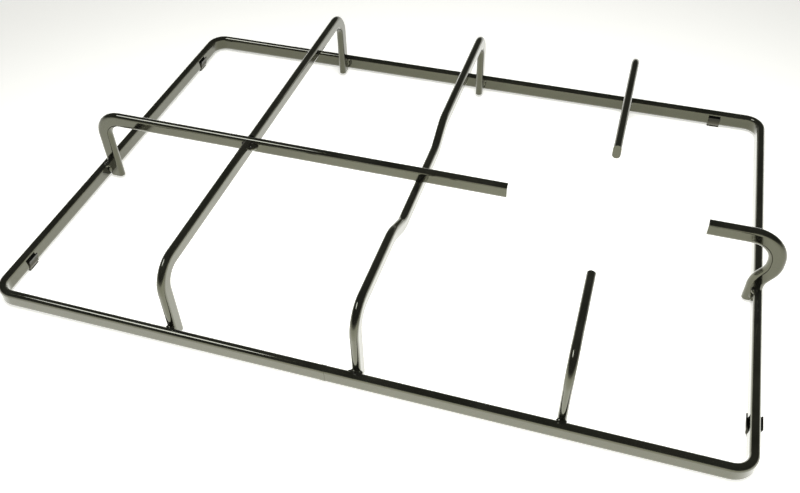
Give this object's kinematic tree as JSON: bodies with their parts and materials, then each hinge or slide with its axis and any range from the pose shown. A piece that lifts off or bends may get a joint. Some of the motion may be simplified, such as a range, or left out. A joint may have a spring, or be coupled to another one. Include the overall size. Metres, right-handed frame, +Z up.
{
  "type": "hob pan support",
  "caption": "Enamelled pan support for a gas hob: a flat rectangular loop with raised, welded bars and fingers that hold pans above the burners, on small clip-on feet.",
  "frame": {"origin": "under the middle of the part's bounding box, in the plane that the feet rest on", "axes": "+X along the hob from left to right, +Y to the back of the hob, +Z up"},
  "size_m": [0.4636, 0.319, 0.0577],
  "materials": {
    "enamel": "glossy black vitreous enamel on steel",
    "foot": "smooth dark moulded rubber"
  },
  "bodies": {
    "root": {"outer_frame": "enamel", "cross_bar": "enamel", "left_bar": "enamel", "middle_bar": "enamel", "rear_finger": "enamel", "front_finger": "enamel", "right_finger": "enamel", "foot_front_left": "foot", "foot_rear_left": "foot", "foot_front_right": "foot", "foot_rear_right": "foot"}
  },
  "joints": []
}
